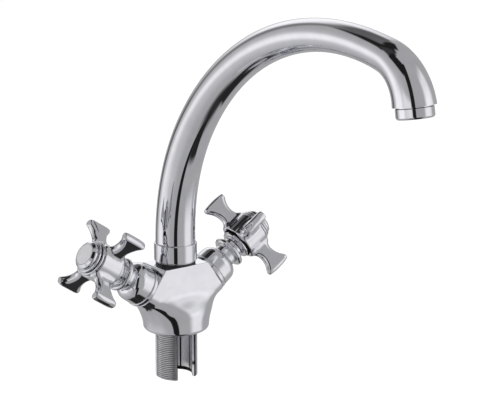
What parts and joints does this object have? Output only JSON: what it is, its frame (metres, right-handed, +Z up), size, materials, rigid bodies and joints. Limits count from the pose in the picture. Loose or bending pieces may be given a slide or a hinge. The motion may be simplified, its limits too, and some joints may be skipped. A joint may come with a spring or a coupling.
{
  "type": "two-handle kitchen mixer tap",
  "caption": "Chrome deck-mounted kitchen mixer with a tall swivelling swan-neck spout, angled cross handles with ceramic valves, and a slotted threaded mounting shank.",
  "frame": {"origin": "on the axis of the mounting shank at the underside of the base, where it meets the deck", "axes": "+Z up along the shank and the swivel axis, -Y along the spout at rest, -X the hot side, +X the cold side"},
  "size_m": [0.1773, 0.303, 0.2962],
  "materials": {
    "chrome": "bright chrome plate",
    "brass": "machined",
    "black_rubber": "matt",
    "black_nylon": "matt",
    "white_acetal": "matt",
    "alumina": "lapped",
    "satin_chrome": "satin",
    "fibre": "matt",
    "steel": "bright zinc"
  },
  "bodies": {
    "base": {"mixer_body": "chrome", "mounting_shank": "chrome", "base_seal": "black_rubber", "spout_slide_ring": "black_nylon", "spout_lock_screw": "steel", "hot_shroud": "chrome", "hot_valve_body": "brass", "hot_valve_gasket": "fibre", "hot_seat_seal": "black_rubber", "hot_fixed_disc": "alumina", "cold_shroud": "chrome", "cold_valve_body": "brass", "cold_valve_gasket": "fibre", "cold_seat_seal": "black_rubber", "cold_fixed_disc": "alumina"},
    "spout": {"spout_tube": "chrome", "spout_collar": "chrome", "spout_stem": "brass", "spout_upper_o_ring": "black_rubber", "spout_lower_o_ring": "black_rubber", "aerator_housing": "chrome", "aerator_gasket": "black_rubber", "aerator_insert": "white_acetal"},
    "hot_control": {"hot_handle": "chrome", "hot_index_cap": "chrome", "hot_cap_face": "satin_chrome", "hot_handle_screw": "steel", "hot_valve_stem": "brass", "hot_moving_disc": "alumina", "hot_stem_o_ring": "black_rubber"},
    "cold_control": {"cold_handle": "chrome", "cold_index_cap": "chrome", "cold_cap_face": "satin_chrome", "cold_handle_screw": "steel", "cold_valve_stem": "brass", "cold_moving_disc": "alumina", "cold_stem_o_ring": "black_rubber"}
  },
  "joints": [
    {"name": "spout_swivel", "type": "hinge", "parent": "base", "child": "spout", "pos_m": [0, 0, 0.0425], "axis": [0, 0, 1], "continuous": true},
    {"name": "hot_turn", "type": "hinge", "parent": "base", "child": "hot_control", "pos_m": [-0.03316, 0, 0.03997], "axis": [-0.829, 0, 0.5592], "range_deg": [0, 90]},
    {"name": "cold_turn", "type": "hinge", "parent": "base", "child": "cold_control", "pos_m": [0.03316, 0, 0.03997], "axis": [0.829, 0, 0.5592], "range_deg": [-90, 0]}
  ]
}
